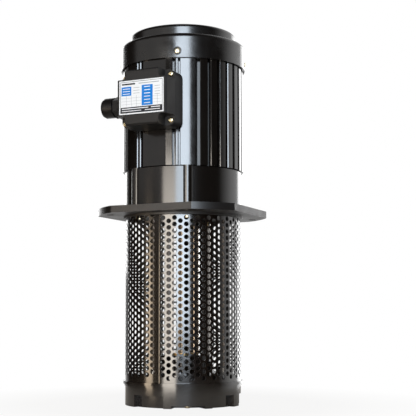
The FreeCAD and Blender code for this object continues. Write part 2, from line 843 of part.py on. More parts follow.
def foot_casting():
    rim_bottom = foot_top - foot_rim_height
    neck_bottom = rim_bottom - foot_neck_height
    body = turned([
        (0, foot_top), (foot_rim_radius, foot_top), (foot_rim_radius, rim_bottom),
        (foot_neck_radius, rim_bottom), (foot_neck_radius, neck_bottom),
        (foot_radius, neck_bottom), (foot_radius, foot_bottom + foot_recess_height),
        (foot_recess_radius, foot_bottom + foot_recess_height), (foot_recess_radius, foot_bottom),
        (0, foot_bottom),
    ])
    legs = [sector(foot_recess_radius - 1, foot_radius, foot_bottom, foot_bottom + foot_recess_height, middle, span)
            for middle, span in foot_legs]
    body = body.fuse(legs).removeSplitter()
    cuts = [
        tube(strainer_radius + slip, strainer_inner_radius - slip, strainer_bottom, foot_top),
        post(strainer_inner_radius - slip, volute_joint, foot_top),
        volute_chamber(volute_floor, volute_joint),
        post(nut_pit_radius, nut_pit_floor, volute_floor),
    ]
    for middle, span in foot_notches:
        cuts.append(sector(foot_screw_circle_radius - foot_notch_reach, foot_radius + 1, foot_bottom,
                           foot_bottom + foot_notch_height, middle, span))
    for angle in foot_screw_angles:
        place = spot(foot_screw_circle_radius, angle)
        cuts.append(post(foot_screw_radius + clearance_hole, foot_bottom, volute_joint, place))
        cuts.append(post(foot_screw_head_radius + clearance_hole, foot_bottom,
                         foot_bottom + foot_notch_height, place))
    return body.cut(cuts)


def foot_screws():
    return group([pan_screw(foot_screw_head_radius, foot_screw_head_height, foot_screw_radius, foot_screw_length,
                            spot(foot_screw_circle_radius, angle, foot_bottom + foot_notch_height), V(0, 0, -1))
                  for angle in foot_screw_angles])


def volute_casing():
    body = post(volute_casing_radius, volute_joint, volute_casing_top)
    bell = post(bell_radius, volute_casing_top, bell_top)
    riser = V(riser_place[0], riser_place[1], 0)
    parts = [bell, post(riser_boss_radius, volute_joint, riser_boss_top, riser)]
    parts += [post(rod_boss_radius, volute_joint, rod_boss_top, spot(rod_circle_radius, angle))
              for angle in rod_angles]
    body = body.fuse(parts).removeSplitter()
    cuts = [
        post(bell_radius - bell_wall, volute_casing_top, bell_top - bell_roof),
        volute_chamber(volute_joint, volute_roof),
        post(wear_ring_radius, volute_roof, volute_casing_top),
        post(riser_bore_radius, volute_joint, riser_boss_top, riser),
        post(riser_radius + slip, riser_boss_top - riser_seat_depth - riser_gasket_height,
             riser_boss_top, riser),
    ]
    for number in range(bell_windows):
        window = block((-bell_window_width / 2, -bell_radius - 2, bell_window_bottom),
                       (bell_window_width / 2, -bell_radius / 2, bell_window_top))
        cuts.append(spin(window, (number + 0.5) * 360 / bell_windows))
    for angle in rod_angles:
        cuts.append(post(rod_thread_radius + slip, rod_boss_top - rod_tap_depth, rod_boss_top,
                         spot(rod_circle_radius, angle)))
    for angle in foot_screw_angles:
        cuts.append(post(foot_screw_radius + slip, volute_joint,
                         foot_bottom + foot_notch_height + foot_screw_length + 0.5,
                         spot(foot_screw_circle_radius, angle)))
    body = body.cut(cuts)
    boss = post(bush_boss_radius, bush_bottom, bell_top)
    body = body.fuse(boss)
    return body.cut(post(bush_radius, bush_bottom, bell_top)).removeSplitter()


def guide_bush():
    bore = pump_shaft_radius + slip
    sleeve = tube(bush_radius, bore, bush_bottom, bell_top)
    collar = tube(bush_collar_radius, bore, bell_top, bell_top + bush_collar_height)
    return fused(sleeve, collar)


def wear_ring():
    return tube(wear_ring_radius, impeller_neck_radius + neck_gap, volute_roof, volute_casing_top)


def impeller_vane():
    """One backward curved vane, an arc that leaves the eye and the rim at the same angle."""
    inlet = impeller_eye_radius - 2
    outlet = impeller_radius
    lean = math.cos(math.radians(impeller_vane_angle))
    curve = (outlet ** 2 - inlet ** 2) / (2 * lean * (outlet - inlet))
    offset = math.sqrt(curve ** 2 + inlet ** 2 - 2 * curve * inlet * lean)
    bottom = impeller_bottom + impeller_plate
    top = impeller_shroud_bottom
    half = impeller_vane_thickness / 2
    arc = tube(curve + half, curve - half, bottom, top, V(0, offset, 0))
    arc = arc.common(tube(outlet, inlet, bottom, top))
    keep = block((0, -2 * outlet, bottom), (2 * outlet, 2 * outlet, top))
    return arc.common(keep)


def impeller():
    plate = post(impeller_radius, impeller_bottom, impeller_bottom + impeller_plate)
    shroud_top = impeller_shroud_bottom + impeller_shroud
    shroud = turned([
        (impeller_eye_radius, impeller_shroud_bottom), (impeller_radius, impeller_shroud_bottom),
        (impeller_radius, impeller_shroud_bottom + impeller_shroud / 2),
        (impeller_neck_radius + 2, shroud_top), (impeller_neck_radius, shroud_top),
        (impeller_neck_radius, impeller_neck_top), (impeller_eye_radius, impeller_neck_top),
    ])
    hub = turned([
        (0, impeller_bottom), (impeller_hub_radius + impeller_hub_flare, impeller_bottom),
        (impeller_hub_radius, impeller_bottom + impeller_hub_flare_height), (impeller_hub_radius - 1, impeller_hub_top),
        (0, impeller_hub_top),
    ])
    vane = impeller_vane()
    vanes = [spin(vane, number * 360 / impeller_vanes) for number in range(impeller_vanes)]
    body = fused(plate, shroud, hub, *vanes)
    bore = post(impeller_seat_radius, impeller_bottom, impeller_hub_top)
    return body.cut([bore, key_block(slip)])


def impeller_nut():
    bottom = impeller_bottom - impeller_nut_height
    nut = hexagon(impeller_nut_across, bottom, impeller_bottom, V(0, 0, 0))
    return nut.cut(post(shaft_thread_radius, bottom, impeller_bottom))


def riser_pipe():
    return tube(riser_radius, riser_bore_radius, riser_boss_top - riser_seat_depth,
                riser_head_seat - riser_gasket_height, V(riser_place[0], riser_place[1], 0))


def riser_gaskets():
    place = V(riser_place[0], riser_place[1], 0)
    low = riser_boss_top - riser_seat_depth
    high = riser_head_seat
    return group([tube(riser_radius, riser_bore_radius, low - riser_gasket_height, low, place),
                  tube(riser_radius, riser_bore_radius, high - riser_gasket_height, high, place)])


def tie_rods():
    rods = []
    for angle in rod_angles:
        place = spot(rod_circle_radius, angle)
        rods.append(fused(post(rod_radius, rod_boss_top, 0, place),
                          post(rod_thread_radius, rod_boss_top - rod_thread_length, rod_thread_length, place)))
    return group(rods)


def box_gasket_sheet():
    half = math.sin(math.radians(pad_half_angle)) * frame_radius
    reach = box_height / 2 - box_wall + 1
    sheet = block((-half, -box_back, box_centre_height - reach), (half, -pad_face, box_centre_height + reach))
    holes = [facing(box_screw_radius + clearance_hole, pad_face, box_back, 0,
                    box_centre_height + side * box_screw_offset) for side in (-1, 1)]
    holes.append(facing(lead_hole_radius, pad_face, box_back, 0, lead_hole_height))
    return sheet.cut(holes)


def lid_screw_places():
    across, up = lid_screw_place
    return [(x, box_centre_height + z) for x in (-across, across) for z in (-up, up)]


def terminal_box_base():
    outer = rounded_plate(box_width, box_height, box_corner_radius, box_back, box_rim)
    inner = rounded_plate(box_width - 2 * box_wall, box_height - 2 * box_wall,
                          box_corner_radius - box_wall, box_back + box_floor, box_rim)
    shell = outer.cut(inner)
    posts = [facing(lid_post_radius, box_back + box_floor, box_rim, x, z) for x, z in lid_screw_places()]
    entry = gland_turned([(0, 0), (0, gland_boss_radius), (gland_boss_length, gland_boss_radius),
                          (gland_boss_length, 0)])
    shell = shell.fuse([part.common(outer) for part in posts] + [entry])
    cuts = [facing(lid_screw_radius + slip, lid_shelf - lid_screw_length, box_rim, x, z)
            for x, z in lid_screw_places()]
    for side in (-1, 1):
        cuts.append(facing(box_screw_radius + clearance_hole, box_back, box_back + box_floor, 0,
                           box_centre_height + side * box_screw_offset))
    cuts.append(facing(lead_hole_radius, box_back, box_back + box_floor, 0, lead_hole_height))
    cuts.append(gland_turned([(-box_wall, 0), (-box_wall, gland_thread_radius + slip),
                              (gland_boss_length, gland_thread_radius + slip), (gland_boss_length, 0)]))
    return shell.cut(cuts).removeSplitter()


def lid_gasket_frame():
    outer = rounded_plate(box_width, box_height, box_corner_radius, box_rim, lid_back)
    inner = rounded_plate(box_width - 2 * box_wall, box_height - 2 * box_wall,
                          box_corner_radius - box_wall, box_rim, lid_back)
    tabs = [facing(lid_post_radius, box_rim, lid_back, x, z).common(outer) for x, z in lid_screw_places()]
    holes = [facing(lid_screw_radius + slip, box_rim, lid_back, x, z) for x, z in lid_screw_places()]
    return outer.cut(inner).fuse(tabs).cut(holes).removeSplitter()


def rounded_outline(width, height, radius, depth):
    """A rounded rectangle in the plane at a depth, centred on the terminal box."""
    across, up = width / 2, height / 2
    pull = radius * (1 - math.sqrt(0.5))
    arcs = []
    for side, end in ((1, 1), (-1, 1), (-1, -1), (1, -1)):
        beside = V(side * across, -depth, box_centre_height + end * (up - radius))
        middle = V(side * (across - pull), -depth, box_centre_height + end * (up - pull))
        above = V(side * (across - radius), -depth, box_centre_height + end * up)
        first, last = (beside, above) if side == end else (above, beside)
        arcs.append((first, middle, last))
    edges = []
    for number, (first, middle, last) in enumerate(arcs):
        edges.append(Part.Arc(first, middle, last).toShape())
        edges.append(Part.makeLine(last, arcs[(number + 1) % 4][0]))
    return Part.Wire(edges)


def lid_hollow(width, height):
    thick = 2 * lid_wall
    return rounded_plate(width - thick, height - thick, lid_front_radius - lid_wall,
                         lid_back, lid_front - lid_wall)


def terminal_box_lid():
    """A tapered cap with a chamfered front and a pocket at each corner for its screw."""
    flange = rounded_plate(box_width, box_height, box_corner_radius, lid_back, lid_shelf)
    slope = 2 * lid_chamfer
    cap = Part.makeLoft([
        rounded_outline(box_width, box_height, box_corner_radius, lid_shelf),
        rounded_outline(lid_front_width + slope, lid_front_height + slope,
                        lid_front_radius + lid_chamfer, lid_front - lid_chamfer),
        rounded_outline(lid_front_width, lid_front_height, lid_front_radius, lid_front),
    ], True, True)
    pocket = block((lid_pocket_place, -lid_front, lid_pocket_place), (box_width, -lid_shelf, box_height))
    corner = [edge for edge in pocket.Edges
              if all(abs(v.X - lid_pocket_place) + abs(v.Z - lid_pocket_place) < 0.01 for v in edge.Vertexes)]
    pocket = pocket.makeFillet(lid_pocket_radius, corner)
    pockets = [pocket, pocket.mirror(V(0, 0, 0), V(1, 0, 0))]
    pockets += [part.mirror(V(0, 0, 0), V(0, 0, 1)) for part in pockets]
    for part in pockets:
        part.translate(V(0, 0, box_centre_height))
    hollows = [lid_hollow(lid_front_width, 2 * lid_pocket_place), lid_hollow(2 * lid_pocket_place, lid_front_height)]
    holes = [facing(lid_screw_radius + clearance_hole, lid_back, lid_shelf, x, z) for x, z in lid_screw_places()]
    return flange.fuse(cap.cut(pockets)).cut(hollows + holes).removeSplitter()


def lid_screws():
    return group([pan_screw(lid_screw_head_radius, lid_screw_head_height, lid_screw_radius, lid_screw_length,
                            V(x, -lid_shelf, z), V(0, -1, 0)) for x, z in lid_screw_places()])


def box_screws():
    floor = box_back + box_floor
    return group([pan_screw(box_screw_head_radius, box_screw_head_height, box_screw_radius, box_screw_length,
                            V(0, -floor, box_centre_height + side * box_screw_offset), V(0, -1, 0))
                  for side in (-1, 1)])


def lead_grommet():
    end = box_back + box_floor + 1
    outer = lead_hole_radius - slip
    return facing(outer, frame_bore_radius, end, 0, lead_hole_height).cut(
        facing(outer - lead_grommet_wall, frame_bore_radius, end, 0, lead_hole_height))


def terminal_board():
    floor = box_back + box_floor
    width, height = board_size
    board = block((-width / 2, -floor - board_thickness, box_centre_height - height / 2),
                  (width / 2, -floor, box_centre_height + height / 2))
    return board.cut([facing(stud_radius + slip, floor, floor + board_thickness, x, z)
                      for x, z in stud_places()])


def stud_places():
    across, up = stud_spacing
    return [(x * across, box_centre_height + z * up / 2) for x in (-1, 0, 1) for z in (-1, 1)]


def terminal_studs():
    floor = box_back + box_floor
    seat = floor + board_thickness
    studs = []
    for x, z in stud_places():
        nut = hexagon(stud_nut_across, seat, seat + stud_nut_height, V(0, 0, 0))
        nut.rotate(V(0, 0, 0), V(1, 0, 0), 90)
        nut.translate(V(x, 0, z))
        studs.append(fused(facing(stud_radius, floor, floor + stud_length, x, z), nut))
    return group(studs)


def earth_screw():
    floor = box_back + box_floor
    x, z = earth_screw_place
    return facing(earth_screw_head_radius, floor, floor + earth_screw_head_height, x, box_centre_height + z)


def label_plate():
    return block((-label_width / 2, -lid_front - label_thickness, box_centre_height - label_height / 2),
                 (label_width / 2, -lid_front, box_centre_height + label_height / 2))


def gland_turned(points):
    """A solid turned about the gland's axis from (reach from the box's wall, radius) points."""
    corners = [V(-box_width / 2 - reach, -gland_axis + radius, gland_height) for reach, radius in points]
    face = Part.Face(Part.makePolygon(corners + corners[:1]))
    return face.revolve(V(0, -gland_axis, gland_height), V(1, 0, 0), 360)


def gland_hexagon(across, start, end):
    prism = hexagon(across, start, end, V(0, 0, 0))
    prism.rotate(V(0, 0, 0), V(0, 1, 0), -90)
    prism.translate(V(-box_width / 2, -gland_axis, gland_height))
    return prism


def gland_body():
    """The hexagon with a thread on each side: into the box, and out for the dome nut."""
    hexagon_end = gland_boss_length + gland_flange_length
    barrel = gland_turned([
        (-box_wall, gland_bore_radius), (-box_wall, gland_thread_radius),
        (gland_boss_length, gland_thread_radius), (gland_boss_length, gland_collar_radius),
        (gland_seal_start, gland_collar_radius), (gland_seal_start, gland_bore_radius),
    ])
    core = gland_turned([(gland_boss_length, 0), (gland_boss_length, gland_bore_radius),
                         (hexagon_end, gland_bore_radius), (hexagon_end, 0)])
    return fused(barrel, gland_hexagon(gland_flange_across, gland_boss_length, hexagon_end).cut(core))


def gland_dome_nut():
    wall = gland_collar_radius + slip
    end = gland_nut_end
    seat = end - gland_nut_wall
    return gland_turned([
        (gland_nut_start, wall), (gland_nut_start, gland_nut_radius), (end - gland_nut_taper, gland_nut_radius),
        (end - gland_nut_taper / 3, gland_nut_radius - gland_nut_taper / 3),
        (end, gland_nut_radius - gland_nut_taper), (end, gland_nut_mouth_radius),
        (seat, gland_nut_mouth_radius), (seat, wall),
    ])


def gland_seal():
    outer = gland_collar_radius - slip
    end = gland_nut_end - gland_nut_wall
    return gland_turned([(gland_seal_start, gland_seal_bore_radius), (gland_seal_start, outer), (end, outer),
                         (end, gland_seal_bore_radius)])


pieces = {
    "pump_head": pump_head,
    "head_bolts": head_bolts,
    "motor_frame": motor_frame,
    "end_shield": end_shield,
    "end_shield_screws": end_shield_screws,
    "fan_cover": fan_cover,
    "fan_cover_screws": fan_cover_screws,
    "cooling_fan": cooling_fan,
    "fan_clip": fan_clip,
    "lower_bearing_outer": lambda: bearing_outer(lower_bearing, lower_bearing_bottom),
    "lower_bearing_inner": lambda: bearing_inner(lower_bearing, lower_bearing_bottom),
    "lower_bearing_balls": lambda: bearing_ball_set(lower_bearing, lower_bearing_bottom),
    "lower_bearing_cage": lambda: bearing_cage(lower_bearing, lower_bearing_bottom),
    "upper_bearing_outer": lambda: bearing_outer(upper_bearing, upper_bearing_bottom),
    "upper_bearing_inner": lambda: bearing_inner(upper_bearing, upper_bearing_bottom),
    "upper_bearing_balls": lambda: bearing_ball_set(upper_bearing, upper_bearing_bottom),
    "upper_bearing_cage": lambda: bearing_cage(upper_bearing, upper_bearing_bottom),
    "bearing_circlip": bearing_circlip,
    "wave_spring": wave_spring,
    "stator_core": stator_core,
    "stator_windings": stator_windings,
    "rotor_core": rotor_core,
    "rotor_end_rings": rotor_end_rings,
    "motor_shaft": motor_shaft,
    "lip_seal": lip_seal,
    "slinger": slinger,
    "strainer_tube": strainer_tube,
    "foot_casting": foot_casting,
    "foot_screws": foot_screws,
    "volute_casing": volute_casing,
    "guide_bush": guide_bush,
    "wear_ring": wear_ring,
    "impeller": impeller,
    "impeller_key": key_block,
    "impeller_nut": impeller_nut,
    "riser_pipe": riser_pipe,
    "riser_gaskets": riser_gaskets,
    "tie_rods": tie_rods,
    "box_gasket": box_gasket_sheet,
    "terminal_box_base": terminal_box_base,
    "lid_gasket": lid_gasket_frame,
    "terminal_box_lid": terminal_box_lid,
    "lid_screws": lid_screws,
    "box_screws": box_screws,
    "lead_grommet": lead_grommet,
    "terminal_board": terminal_board,
    "terminal_studs": terminal_studs,
    "earth_screw": earth_screw,
    "label_plate": label_plate,
    "gland_body": gland_body,
    "gland_dome_nut": gland_dome_nut,
    "gland_seal": gland_seal,
}

os.makedirs("parts", exist_ok=True)
for node, make in pieces.items():
    shape = make()
    if not shape.isValid():
        print("not valid:", node)
    shape.exportStep("parts/" + node + ".step")
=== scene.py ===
import json
import math

import bmesh
import bpy
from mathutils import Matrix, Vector

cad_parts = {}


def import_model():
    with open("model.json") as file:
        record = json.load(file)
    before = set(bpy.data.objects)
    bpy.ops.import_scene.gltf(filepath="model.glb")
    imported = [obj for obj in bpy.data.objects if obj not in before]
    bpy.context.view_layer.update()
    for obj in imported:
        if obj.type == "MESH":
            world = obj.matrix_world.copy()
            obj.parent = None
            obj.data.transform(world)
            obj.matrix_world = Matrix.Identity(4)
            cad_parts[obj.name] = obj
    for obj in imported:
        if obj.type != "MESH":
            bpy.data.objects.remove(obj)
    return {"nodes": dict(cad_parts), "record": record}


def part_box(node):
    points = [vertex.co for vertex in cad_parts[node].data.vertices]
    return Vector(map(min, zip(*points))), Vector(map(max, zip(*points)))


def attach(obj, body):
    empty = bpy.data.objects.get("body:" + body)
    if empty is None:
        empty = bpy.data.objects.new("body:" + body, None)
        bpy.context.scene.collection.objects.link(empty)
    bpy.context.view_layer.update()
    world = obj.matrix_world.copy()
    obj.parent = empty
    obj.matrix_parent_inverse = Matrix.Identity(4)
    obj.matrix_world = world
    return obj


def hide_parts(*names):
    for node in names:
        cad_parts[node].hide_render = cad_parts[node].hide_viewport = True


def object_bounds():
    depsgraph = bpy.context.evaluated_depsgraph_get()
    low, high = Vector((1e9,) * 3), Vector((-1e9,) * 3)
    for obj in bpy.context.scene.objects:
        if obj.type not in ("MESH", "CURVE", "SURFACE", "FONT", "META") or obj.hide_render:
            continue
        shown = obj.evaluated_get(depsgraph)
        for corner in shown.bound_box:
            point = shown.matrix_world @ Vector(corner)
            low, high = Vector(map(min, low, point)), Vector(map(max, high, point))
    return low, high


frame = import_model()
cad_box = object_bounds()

MM = 0.001
WHITE = (1, 1, 1)

# Camera, fitted to the photograph
CAMERA_AZIMUTH = 25.0
CAMERA_DISTANCE = 1.2097
CAMERA_HEIGHT = -0.1175
CAMERA_TILT = 4.21
CAMERA_LENS = 88.11
CAMERA_SENSOR = 36.0
CAMERA_SHIFT = (0.06, 0.08)

# Soft boxes on a circle round the pump: name, angle from the camera's own and spread in degrees,
# lowest and highest point, brightness, colour
PANEL_DISTANCE = 1.6
PANELS = (
    ("window", -0.5, 26.0, -0.17, 0.95, 8.7, (0.79, 0.89, 1.0)),
    ("sill", -26.0, 25.0, -0.45, 0.31, 6.0, (1.0, 0.92, 0.82)),
    ("lamp", -68.5, 15.0, -0.40, 0.09, 4.5, (1.0, 0.80, 0.58)),
    ("upper_left", -66.0, 60.0, 0.17, 1.10, 0.30, WHITE),
    ("rear_left", -160.0, 30.0, 0.0, 0.8, 3.0, WHITE),
    ("rear_right", 150.0, 30.0, -0.3, 0.8, 3.0, WHITE),
)

# The world lights dull surfaces a little, and gloss mirrors a white wall in it. The wall's middle is at
# an angle from the camera's own, and the wall fades out between FULL and EDGE degrees off its middle
WALL_ANGLE = 150.0
WALL_FULL = 41.0
WALL_EDGE = 75.0
DIFFUSE_LEVEL = 0.08

# Floor. To the camera its own colour is mixed with white: LIFT is the white's share out to NEAR, and at
# FAR all is white
FLOOR_RADIUS = 0.36
FLOOR_SIDES = 96
FLOOR_NEAR = 0.45 * FLOOR_RADIUS
FLOOR_FAR = 0.95 * FLOOR_RADIUS
FLOOR_LIFT = 0.88
FLOOR_GAP = 0.2 * MM
FLOOR_COLOUR = (0.62, 0.55, 0.47)
FLOOR_ROUGHNESS = 0.8

# Strainer sheet, rolled from a perforated strip, with angles in degrees from -Y towards +X
SHEET_RADIUS = 68.0 * MM
SHEET_WALL = 1.0 * MM
SHEET_TOP = 1.2 * MM
SHEET_BOTTOM = -196.0 * MM
SHARP_ANGLE = 35.0
COLUMNS = 63
FIRST_COLUMN = 5.6
LAST_COLUMN = 354.1
COLUMN_PITCH = (LAST_COLUMN - FIRST_COLUMN) / (COLUMNS - 1)
ROWS = 25
ROW_PITCH = 7.358 * MM
ROW_CLIMB = ROW_PITCH / 2 / (COLUMNS - 1)
FIRST_ROW = -6.6 * MM
HOLE_RADIUS = 2.75 * MM
HOLE_SIDES = 18
SEAM_START = 2.0
SEAM_END = 360.8
SEAM_DEPTH = 0.5 * MM

# Points of the sheet are one vertex when their angle and height agree to so many digits, and two angles
# are compared with so much slack
KEY_DIGITS = (4, 7)
SLACK = 1e-6

# Where the finish changes on one piece: the drum's start on the head, the flange's round corners, the
# back of the strainer's sheet, and the riser among the pipe and the rods
DRUM_HEIGHT = 9.0 * MM
CORNER_RADIUS = 99.9 * MM
SHEET_BACK = SHEET_RADIUS - 0.4 * SHEET_WALL
RISER_FRONT = 20.0 * MM
RISER_LEFT = -20.0 * MM

# Most values of a noise lie between these
NOISE_RANGE = (0.3, 0.7)

# Tool marks: noise that is so many times finer in height, the values that go from dark to light, and depth
STREAK_FINENESS = 30.0
STREAK_RANGE = (0.35, 0.65)
STREAK_DEPTH = 0.02 * MM

# Each slot's colour and roughness
STEELS = {
    "bare_aluminium": ((0.6, 0.6, 0.6), 0.35),
    "zinc_steel": ((0.75, 0.64, 0.44), 0.28),
    "spring_steel": ((0.4, 0.4, 0.42), 0.3),
    "bearing_steel": ((0.65, 0.65, 0.66), 0.16),
    "core_steel": ((0.25, 0.25, 0.27), 0.4),
    "copper": ((0.72, 0.3, 0.14), 0.35),
    # shaft_steel's dark brown colour is painted shade where the shaft shows inside the strainer
    "shaft_steel": ((0.22, 0.18, 0.14), 0.22),
    "bronze": ((0.55, 0.36, 0.16), 0.35),
    "brass_studs": ((0.7, 0.5, 0.2), 0.25),
}
PLASTICS = {
    "fan_plastic": ((0.02, 0.02, 0.02), 0.5),
    "rubber": ((0.015, 0.015, 0.015), 0.7),
    "box_plastic": ((0.0092, 0.0078, 0.0072), 0.5),
    "board_plastic": ((0.12, 0.05, 0.025), 0.4),
    "gland_nylon": ((0.0064, 0.0052, 0.0048), 0.36),
}

# Each slot's colour, roughness, grain size, grain depth and index of refraction
PAINTS = {
    "black_aluminium": ((0.0052, 0.0039, 0.0031), 0.14, 0.9 * MM, 0.005 * MM, 1.9),
    "black_sheet": ((0.0050, 0.0038, 0.0031), 0.24, 1.2 * MM, 0.008 * MM, 1.9),
    "foot_iron": ((0.007, 0.0045, 0.003), 0.15, 0.8 * MM, 0.012 * MM, 2.0),
}


def angle_point(radius, angle, height=0.0):
    """The point at a radius and an angle in degrees from -Y towards +X."""
    turn = math.radians(angle)
    return Vector((radius * math.sin(turn), -radius * math.cos(turn), height))


class Nodes:
    """Adds nodes to one tree and links them."""

    def __init__(self, tree):
        self.tree = tree

    def node(self, kind, **values):
        made = self.tree.nodes.new(kind)
        for key, value in values.items():
            setattr(made, key, value)
        return made

    def link(self, source, target):
        self.tree.links.new(source, target)

    def feed(self, socket, value):
        """Give a socket a value, which is a constant or another node's output."""
        if isinstance(value, bpy.types.NodeSocket):
            self.link(value, socket)
        else:
            socket.default_value = value

    def tint(self, socket, colour):
        """Give a socket a colour, which is red, green and blue or another node's output."""
        self.feed(socket, colour if isinstance(colour, bpy.types.NodeSocket) else (*colour, 1.0))

    def math(self, operation, first, second=0.0):
        made = self.node("ShaderNodeMath", operation=operation)
        self.feed(made.inputs[0], first)
        self.feed(made.inputs[1], second)
        return made.outputs[0]

    def span(self, value, low, high, to_low=0.0, to_high=1.0):
        """Map a value from one range to another, and stop at its ends."""
        made = self.node("ShaderNodeMapRange")
        self.feed(made.inputs["Value"], value)
        made.inputs["From Min"].default_value = low
        made.inputs["From Max"].default_value = high
        self.feed(made.inputs["To Min"], to_low)
        self.feed(made.inputs["To Max"], to_high)
        return made.outputs["Result"]

    def between(self, share, first, second):
        """A number that goes from the first to the second as the share goes from 0 to 1."""
        return self.span(share, 0.0, 1.0, first, second)

    def any_of(self, *masks):
        """The largest of the masks, so 1 where any of them is."""
        value = masks[0]
        for mask in masks[1:]:
            value = self.math("MAXIMUM", value, mask)
        return value

    def all_of(self, *masks):
        """The masks' product, so 1 where all of them are."""
        value = masks[0]
        for mask in masks[1:]:
            value = self.math("MULTIPLY", value, mask)
        return value

    def without(self, mask, *others):
        """A mask, but 0 where any of the others is 1."""
        return self.all_of(mask, self.math("SUBTRACT", 1.0, self.any_of(*others)))

    def mix(self, share, first, second):
        """A colour that goes from the first to the second as the share goes from 0 to 1."""
        made = self.node("ShaderNodeMix", data_type="RGBA")
        self.feed(made.inputs["Factor"], share)
        colours = [socket for socket in made.inputs if socket.type == "RGBA"]
        for socket, colour in zip(colours, (first, second)):
            self.tint(socket, colour)
        return [socket for socket in made.outputs if socket.type == "RGBA"][0]


class Finish(Nodes):
    """The nodes of one new material."""

    def __init__(self, name):
        self.material = bpy.data.materials.new(name)
        self.material.use_nodes = True
        super().__init__(self.material.node_tree)
        self.shader = self.tree.nodes["Principled BSDF"]
        self.place = self.node("ShaderNodeTexCoord").outputs["Object"]

    def axes(self):
        made = self.node("ShaderNodeSeparateXYZ")
        self.link(self.place, made.inputs[0])
        return made.outputs

    def radius(self, x, y):
        """How far a point is from the pump's axis."""
        squares = [self.math("MULTIPLY", side, side) for side in (x, y)]
        return self.math("SQRT", self.math("ADD", *squares))

    def noise(self, per_metre, detail=3.0, roughness=0.5, place=None):
        """Noise with about so many waves to the metre."""
        made = self.node("ShaderNodeTexNoise")
        self.link(place or self.place, made.inputs["Vector"])
        made.inputs["Scale"].default_value = per_metre
        made.inputs["Detail"].default_value = detail
        made.inputs["Roughness"].default_value = roughness
        return made.outputs["Fac"]

    def tool_marks(self):
        """The level streaks that turning leaves: a share from dark to light, and a bump."""
        flat = self.node("ShaderNodeMapping")
        self.link(self.place, flat.inputs["Vector"])
        flat.inputs["Scale"].default_value = (1.0, 1.0, STREAK_FINENESS)
        marks = self.noise(120.0, 3.0, 0.6, flat.outputs["Vector"])
        return self.span(marks, *STREAK_RANGE), self.bump(marks, STREAK_DEPTH)

    def bump(self, height, distance):
        made = self.node("ShaderNodeBump")
        made.inputs["Strength"].default_value = 1.0
        made.inputs["Distance"].default_value = distance
        self.link(height, made.inputs["Height"])
        return made.outputs["Normal"]

    def surface(self, colour, roughness, metallic, normal, ior=1.5):
        self.tint(self.shader.inputs["Base Color"], colour)
        self.feed(self.shader.inputs["Roughness"], roughness)
        self.shader.inputs["Metallic"].default_value = metallic
        self.shader.inputs["IOR"].default_value = ior
        self.link(normal, self.shader.inputs["Normal"])
        return self.material


def steel(name, colour, roughness):
    """Turned or drawn metal with fine tool marks."""
    nodes = Finish(name)
    streak, bump = nodes.tool_marks()
    cloud = nodes.noise(60.0)
    uneven = nodes.span(cloud, *NOISE_RANGE, roughness * 0.8, roughness * 1.25)
    dark = tuple(c * 0.72 for c in colour)
    return nodes.surface(nodes.mix(streak, dark, colour), uneven, 1.0, bump)


def plastic(name, colour, roughness):
    """Moulded plastic or rubber with a fine grain."""
    nodes = Finish(name)
    fine = nodes.noise(1 / (0.5 * MM), 2.0)
    cloud = nodes.noise(50.0)
    uneven = nodes.span(cloud, *NOISE_RANGE, roughness * 0.88, roughness * 1.1)
    light = tuple(c * 1.25 for c in colour)
    return nodes.surface(nodes.mix(cloud, colour, light), uneven, 0.0, nodes.bump(fine, 0.05 * MM))


def painted(name, colour, roughness, grain_size, grain_depth, ior):
    """Sprayed paint: a fine orange peel, uneven gloss and a slightly uneven colour."""
    nodes = Finish(name)
    peel = nodes.noise(1 / grain_size, 2.0)
    cloud = nodes.noise(40.0)
    uneven = nodes.span(cloud, *NOISE_RANGE, roughness * 0.75, roughness * 1.25)
    light = tuple(c * 1.35 + 0.002 for c in colour)
    shade = nodes.mix(nodes.noise(90.0, 4.0), colour, light)
    return nodes.surface(shade, uneven, 0.0, nodes.bump(peel, grain_depth), ior)


def pipe_finish():
    """A bright drawn riser pipe, and tie rods that are duller, with a darker colour that is painted shade
    inside the strainer.
    """
    nodes = Finish("pipe_steel")
    x, y, _ = nodes.axes()
    riser = nodes.all_of(nodes.math("GREATER_THAN", y, RISER_FRONT),
                         nodes.math("GREATER_THAN", x, RISER_LEFT))
    streak, bump = nodes.tool_marks()
    bright = nodes.mix(streak, (0.42, 0.40, 0.38), (0.58, 0.55, 0.52))
    # The rods' darker colour is painted shade inside the strainer
    dull = nodes.mix(streak, (0.09, 0.08, 0.075), (0.13, 0.12, 0.115))
    roughness = nodes.between(riser, 0.3, 0.15)
    return nodes.surface(nodes.mix(riser, dull, bright), roughness, 1.0, bump)


def sheet_finish():
    """Gloss paint on the strainer's outside, and a dull inside whose darker colour is painted shade."""
    nodes = Finish("strainer_sheet")
    x, y, _ = nodes.axes()
    inside = nodes.math("LESS_THAN", nodes.radius(x, y), SHEET_BACK)
    roughness = nodes.between(inside, 0.16, 0.75)
    # The inside's darker colour is painted shade inside the tube
    shade = nodes.mix(inside, (0.0085, 0.0055, 0.0037), (0.003, 0.002, 0.0015))
    peel = nodes.noise(1 / MM, 2.0)
    return nodes.surface(shade, roughness, 0.0, nodes.bump(peel, 0.01 * MM), 2.0)


